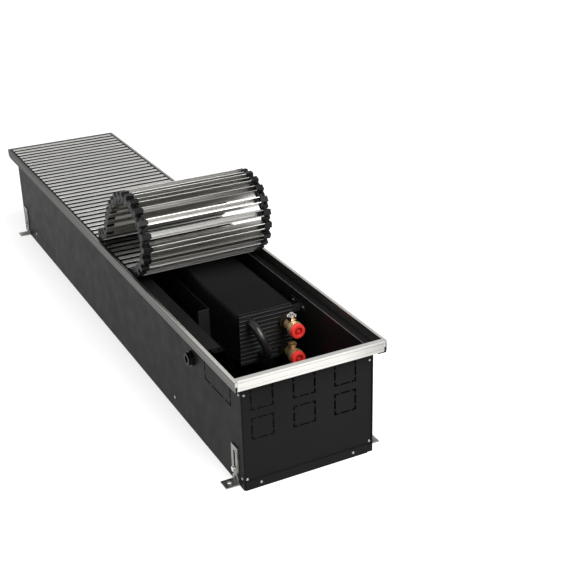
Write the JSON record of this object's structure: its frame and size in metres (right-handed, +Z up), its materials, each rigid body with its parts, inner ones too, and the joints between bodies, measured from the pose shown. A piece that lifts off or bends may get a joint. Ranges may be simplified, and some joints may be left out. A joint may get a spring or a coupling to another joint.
{
  "type": "trench convector heater",
  "caption": "Floor trench convector heater with a black steel trough, finned heat exchanger, aluminium edge frame and a roll-up slat grille partly rolled back.",
  "frame": {"origin": "middle of the underside of the trough", "axes": "+Z up, +Y along the trough from the connection end to the far end, +X to the right seen from the connection end"},
  "size_m": [0.2646, 1.234, 0.3338],
  "materials": {
    "black_coat": "satin",
    "anodised": "satin",
    "black_plastic": "matte",
    "steel": "satin",
    "copper": "satin",
    "brass": "satin",
    "nickel": "satin",
    "red_plastic": "gloss"
  },
  "bodies": {
    "housing": {"trough_shell": "black_coat", "trough_walls": "black_coat", "trough_folds": "black_coat", "trough_returns": "black_coat", "end_plate_near": "black_coat", "end_plate_far": "black_coat", "ledge_left": "black_coat", "end_plate_screws": "steel", "wall_screws": "steel", "frame_bar_left": "anodised", "frame_bar_right": "anodised", "frame_bar_near": "anodised", "frame_bar_far": "anodised", "frame_corner_keys": "steel", "foot_bolts": "steel", "grille_slats": "anodised", "grille_links": "black_plastic", "exchanger_fins": "black_coat", "exchanger_tubes": "copper", "exchanger_end_plates": "black_coat", "return_bend_near": "copper", "return_bends_far": "copper", "exchanger_saddles": "steel", "air_baffle": "black_coat", "fitting_upper": "brass", "fitting_lower": "brass", "vent_body": "nickel", "drain_plug": "brass", "cable_gland_body": "black_plastic", "cable_gland_nut": "black_plastic"},
    "vent_screw": {"vent_screw": "nickel"},
    "plug_upper": {"plug_upper": "red_plastic"},
    "plug_lower": {"plug_lower": "red_plastic"},
    "foot_near_left": {"foot_near_left": "steel"},
    "foot_near_right": {"foot_near_right": "steel"},
    "foot_far_left": {"foot_far_left": "steel"},
    "foot_far_right": {"foot_far_right": "steel"},
    "slat_01": {"slat_01": "anodised"},
    "slat_02": {"slat_02": "anodised"},
    "slat_03": {"slat_03": "anodised"},
    "slat_04": {"slat_04": "anodised"},
    "slat_05": {"slat_05": "anodised"},
    "slat_06": {"slat_06": "anodised"},
    "slat_07": {"slat_07": "anodised"},
    "slat_08": {"slat_08": "anodised"},
    "slat_09": {"slat_09": "anodised"},
    "slat_10": {"slat_10": "anodised"},
    "slat_11": {"slat_11": "anodised"},
    "slat_12": {"slat_12": "anodised"},
    "slat_13": {"slat_13": "anodised"},
    "slat_14": {"slat_14": "anodised"},
    "slat_15": {"slat_15": "anodised"},
    "slat_16": {"slat_16": "anodised"},
    "slat_17": {"slat_17": "anodised"},
    "slat_18": {"slat_18": "anodised"},
    "slat_19": {"slat_19": "anodised"},
    "slat_20": {"slat_20": "anodised"},
    "slat_21": {"slat_21": "anodised"},
    "slat_22": {"slat_22": "anodised"}
  },
  "joints": [
    {"name": "slat_01_hinge", "type": "hinge", "parent": "housing", "child": "slat_01", "pos_m": [0, -0.17, 0.189], "axis": [1, 0, 0], "range_deg": [0, 21.5]},
    {"name": "slat_02_hinge", "type": "hinge", "parent": "slat_01", "child": "slat_02", "pos_m": [0, -0.18861, 0.19633], "axis": [1, 0, 0], "range_deg": [0, 7]},
    {"name": "slat_03_hinge", "type": "hinge", "parent": "slat_02", "child": "slat_03", "pos_m": [0, -0.20618, 0.20587], "axis": [1, 0, 0], "range_deg": [0, 7]},
    {"name": "slat_04_hinge", "type": "hinge", "parent": "slat_03", "child": "slat_04", "pos_m": [0, -0.22247, 0.21749], "axis": [1, 0, 0], "range_deg": [0, 8]},
    {"name": "slat_05_hinge", "type": "hinge", "parent": "slat_04", "child": "slat_05", "pos_m": [0, -0.23697, 0.23125], "axis": [1, 0, 0], "range_deg": [0, 21]},
    {"name": "slat_06_hinge", "type": "hinge", "parent": "slat_05", "child": "slat_06", "pos_m": [0, -0.24558, 0.24931], "axis": [1, 0, 0], "range_deg": [0, 21]},
    {"name": "slat_07_hinge", "type": "hinge", "parent": "slat_06", "child": "slat_07", "pos_m": [0, -0.24715, 0.26924], "axis": [1, 0, 0], "range_deg": [0, 21]},
    {"name": "slat_08_hinge", "type": "hinge", "parent": "slat_07", "child": "slat_08", "pos_m": [0, -0.24147, 0.28842], "axis": [1, 0, 0], "range_deg": [0, 21]},
    {"name": "slat_09_hinge", "type": "hinge", "parent": "slat_08", "child": "slat_09", "pos_m": [0, -0.2293, 0.30429], "axis": [1, 0, 0], "range_deg": [0, 17.5]},
    {"name": "slat_10_hinge", "type": "hinge", "parent": "slat_09", "child": "slat_10", "pos_m": [0, -0.21292, 0.31576], "axis": [1, 0, 0], "range_deg": [0, 17.5]},
    {"name": "slat_11_hinge", "type": "hinge", "parent": "slat_10", "child": "slat_11", "pos_m": [0, -0.19384, 0.32177], "axis": [1, 0, 0], "range_deg": [0, 13.5]},
    {"name": "slat_12_hinge", "type": "hinge", "parent": "slat_11", "child": "slat_12", "pos_m": [0, -0.17389, 0.32317], "axis": [1, 0, 0], "range_deg": [0, 13.5]},
    {"name": "slat_13_hinge", "type": "hinge", "parent": "slat_12", "child": "slat_13", "pos_m": [0, -0.15416, 0.31987], "axis": [1, 0, 0], "range_deg": [0, 13.5]},
    {"name": "slat_14_hinge", "type": "hinge", "parent": "slat_13", "child": "slat_14", "pos_m": [0, -0.13575, 0.31205], "axis": [1, 0, 0], "range_deg": [0, 7]},
    {"name": "slat_15_hinge", "type": "hinge", "parent": "slat_14", "child": "slat_15", "pos_m": [0, -0.11843, 0.30205], "axis": [1, 0, 0], "range_deg": [0, 7.25]},
    {"name": "slat_16_hinge", "type": "hinge", "parent": "slat_15", "child": "slat_16", "pos_m": [0, -0.10251, 0.28995], "axis": [1, 0, 0], "range_deg": [0, 7.25]},
    {"name": "slat_17_hinge", "type": "hinge", "parent": "slat_16", "child": "slat_17", "pos_m": [0, -0.08825, 0.27593], "axis": [1, 0, 0], "range_deg": [0, 7.25]},
    {"name": "slat_18_hinge", "type": "hinge", "parent": "slat_17", "child": "slat_18", "pos_m": [0, -0.07587, 0.26022], "axis": [1, 0, 0], "range_deg": [0, 7.25]},
    {"name": "slat_19_hinge", "type": "hinge", "parent": "slat_18", "child": "slat_19", "pos_m": [0, -0.06558, 0.24307], "axis": [1, 0, 0], "range_deg": [0, 7.25]},
    {"name": "slat_20_hinge", "type": "hinge", "parent": "slat_19", "child": "slat_20", "pos_m": [0, -0.05753, 0.22476], "axis": [1, 0, 0], "range_deg": [-22.09, 0]},
    {"name": "slat_21_hinge", "type": "hinge", "parent": "slat_20", "child": "slat_21", "pos_m": [0, -0.04319, 0.21082], "axis": [1, 0, 0], "range_deg": [-22.09, 0]},
    {"name": "slat_22_hinge", "type": "hinge", "parent": "slat_21", "child": "slat_22", "pos_m": [0, -0.02466, 0.2033], "axis": [1, 0, 0], "range_deg": [-22.09, 0]},
    {"name": "foot_near_left_slide", "type": "slide", "parent": "housing", "child": "foot_near_left", "axis": [0, 0, 1], "range_m": [-0.029, 0]},
    {"name": "foot_near_right_slide", "type": "slide", "parent": "housing", "child": "foot_near_right", "axis": [0, 0, 1], "range_m": [-0.029, 0]},
    {"name": "foot_far_left_slide", "type": "slide", "parent": "housing", "child": "foot_far_left", "axis": [0, 0, 1], "range_m": [-0.029, 0]},
    {"name": "foot_far_right_slide", "type": "slide", "parent": "housing", "child": "foot_far_right", "axis": [0, 0, 1], "range_m": [-0.029, 0]},
    {"name": "plug_upper_pull", "type": "slide", "parent": "housing", "child": "plug_upper", "axis": [0, -1, 0], "range_m": [0, 0.014]},
    {"name": "plug_lower_pull", "type": "slide", "parent": "housing", "child": "plug_lower", "axis": [0, -1, 0], "range_m": [0, 0.014]},
    {"name": "vent_screw_turn", "type": "hinge", "parent": "housing", "child": "vent_screw", "pos_m": [0.07498, -0.405, 0.16051], "axis": [0, 0, 1], "range_deg": [0, 360]}
  ],
  "couplings": [
    {"joint": "slat_20_hinge", "follows": "slat_01_hinge", "ratio": -1.0275},
    {"joint": "slat_21_hinge", "follows": "slat_01_hinge", "ratio": -1.0275},
    {"joint": "slat_22_hinge", "follows": "slat_01_hinge", "ratio": -1.0275}
  ]
}
